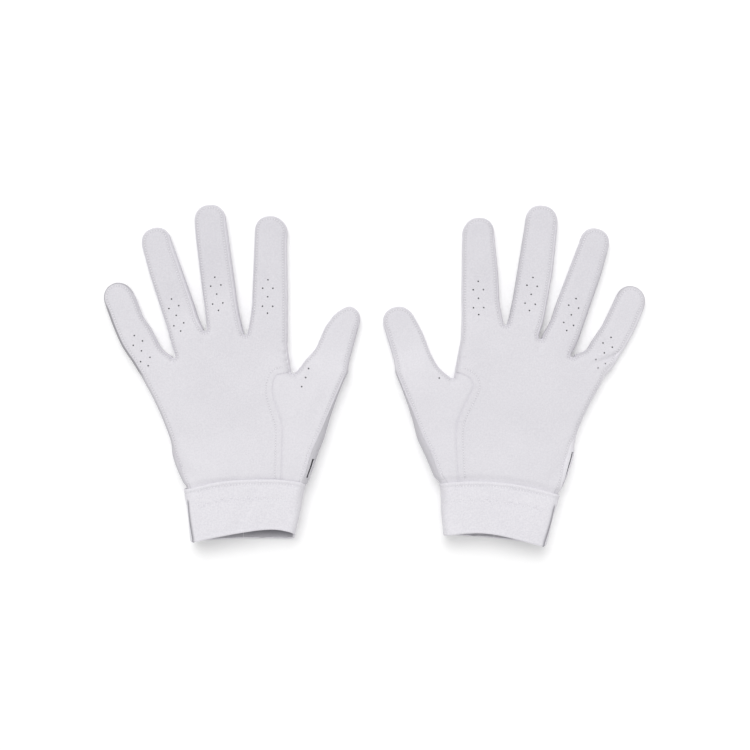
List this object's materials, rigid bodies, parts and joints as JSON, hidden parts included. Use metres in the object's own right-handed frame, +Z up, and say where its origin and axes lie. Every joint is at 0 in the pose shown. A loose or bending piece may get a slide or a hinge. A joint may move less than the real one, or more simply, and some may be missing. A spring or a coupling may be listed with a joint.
{
  "type": "batting gloves",
  "caption": "Pair of leather batting gloves lying palm up, with sewn panels, side strips, knit cuffs and wrist straps.",
  "frame": {"origin": "middle of the pair on the surface that it lies on", "axes": "+Y towards the fingertips, +Z up out of the palms, +X from the right-hand glove to the left-hand glove"},
  "size_m": [0.36, 0.2264, 0.0259],
  "materials": {
    "palm_leather": "fine-grained pale leather, matt",
    "side_leather": "fine-grained pale leather, a little greyer",
    "knit": "brushed stretch knit, matt",
    "hook_and_loop": "hook and loop pile"
  },
  "bodies": {
    "hands": {"right_palm_panel": "palm_leather", "right_back_panel": "side_leather", "right_thumb_panel": "palm_leather", "right_thumb_back": "side_leather", "right_cuff_front": "knit", "right_cuff_back": "knit", "right_wrist_elastic": "knit", "right_strap_base": "palm_leather", "right_loop_patch": "hook_and_loop", "right_fourchette_little_ring": "side_leather", "right_fourchette_ring_middle": "side_leather", "right_fourchette_middle_index": "side_leather", "left_palm_panel": "palm_leather", "left_back_panel": "side_leather", "left_thumb_panel": "palm_leather", "left_thumb_back": "side_leather", "left_cuff_front": "knit", "left_cuff_back": "knit", "left_wrist_elastic": "knit", "left_strap_base": "palm_leather", "left_loop_patch": "hook_and_loop", "left_fourchette_little_ring": "side_leather", "left_fourchette_ring_middle": "side_leather", "left_fourchette_middle_index": "side_leather"},
    "right_little_finger": {"right_little_tip": "palm_leather", "right_little_tip_back": "side_leather", "right_little_side_ring": "side_leather"},
    "right_ring_finger": {"right_ring_tip": "palm_leather", "right_ring_tip_back": "side_leather", "right_ring_side_little": "side_leather", "right_ring_side_middle": "side_leather"},
    "right_middle_finger": {"right_middle_tip": "palm_leather", "right_middle_tip_back": "side_leather", "right_middle_side_ring": "side_leather", "right_middle_side_index": "side_leather"},
    "right_index_finger": {"right_index_tip": "palm_leather", "right_index_tip_back": "side_leather", "right_index_side_middle": "side_leather"},
    "right_thumb": {"right_thumb_tip": "palm_leather", "right_thumb_tip_back": "side_leather"},
    "right_strap_tongue": {"right_strap": "palm_leather", "right_hook_patch": "hook_and_loop"},
    "left_little_finger": {"left_little_tip": "palm_leather", "left_little_tip_back": "side_leather", "left_little_side_ring": "side_leather"},
    "left_ring_finger": {"left_ring_tip": "palm_leather", "left_ring_tip_back": "side_leather", "left_ring_side_little": "side_leather", "left_ring_side_middle": "side_leather"},
    "left_middle_finger": {"left_middle_tip": "palm_leather", "left_middle_tip_back": "side_leather", "left_middle_side_ring": "side_leather", "left_middle_side_index": "side_leather"},
    "left_index_finger": {"left_index_tip": "palm_leather", "left_index_tip_back": "side_leather", "left_index_side_middle": "side_leather"},
    "left_thumb": {"left_thumb_tip": "palm_leather", "left_thumb_tip_back": "side_leather"},
    "left_strap_tongue": {"left_strap": "palm_leather", "left_hook_patch": "hook_and_loop"}
  },
  "joints": [
    {"name": "right_little_fold", "type": "hinge", "parent": "hands", "child": "right_little_finger", "pos_m": [-0.15342, 0.01608, 0.014], "axis": [0.9048, 0.4258, 0], "range_deg": [0, 90]},
    {"name": "right_ring_fold", "type": "hinge", "parent": "hands", "child": "right_ring_finger", "pos_m": [-0.13022, 0.0396, 0.014], "axis": [0.9593, 0.2823, 0], "range_deg": [0, 90]},
    {"name": "right_middle_fold", "type": "hinge", "parent": "hands", "child": "right_middle_finger", "pos_m": [-0.10326, 0.05352, 0.014], "axis": [0.9936, 0.1132, 0], "range_deg": [0, 90]},
    {"name": "right_index_fold", "type": "hinge", "parent": "hands", "child": "right_index_finger", "pos_m": [-0.06934, 0.0516, 0.014], "axis": [0.9999, -0.0105, 0], "range_deg": [0, 90]},
    {"name": "right_thumb_fold", "type": "hinge", "parent": "hands", "child": "right_thumb", "pos_m": [-0.02622, 0.01656, 0.014], "axis": [0.9311, -0.3649, 0], "range_deg": [0, 80]},
    {"name": "right_strap_peel", "type": "hinge", "parent": "hands", "child": "right_strap_tongue", "pos_m": [-0.10954, -0.09374, 0], "axis": [-0.0087, 1, 0], "range_deg": [0, 150]},
    {"name": "left_little_fold", "type": "hinge", "parent": "hands", "child": "left_little_finger", "pos_m": [0.15435, 0.01387, 0.014], "axis": [0.9157, -0.4019, 0], "range_deg": [0, 90]},
    {"name": "left_ring_fold", "type": "hinge", "parent": "hands", "child": "left_ring_finger", "pos_m": [0.13243, 0.03931, 0.014], "axis": [0.9583, -0.2857, 0], "range_deg": [0, 90]},
    {"name": "left_middle_fold", "type": "hinge", "parent": "hands", "child": "left_middle_finger", "pos_m": [0.10579, 0.05313, 0.014], "axis": [0.994, -0.1097, 0], "range_deg": [0, 90]},
    {"name": "left_index_fold", "type": "hinge", "parent": "hands", "child": "left_index_finger", "pos_m": [0.07075, 0.05064, 0.014], "axis": [0.9999, 0.014, 0], "range_deg": [0, 90]},
    {"name": "left_thumb_fold", "type": "hinge", "parent": "hands", "child": "left_thumb", "pos_m": [0.02411, 0.01541, 0.014], "axis": [0.9563, 0.2924, 0], "range_deg": [0, 80]},
    {"name": "left_strap_peel", "type": "hinge", "parent": "hands", "child": "left_strap_tongue", "pos_m": [0.10591, -0.09581, 0], "axis": [-0.0993, -0.9951, 0], "range_deg": [0, 150]}
  ]
}
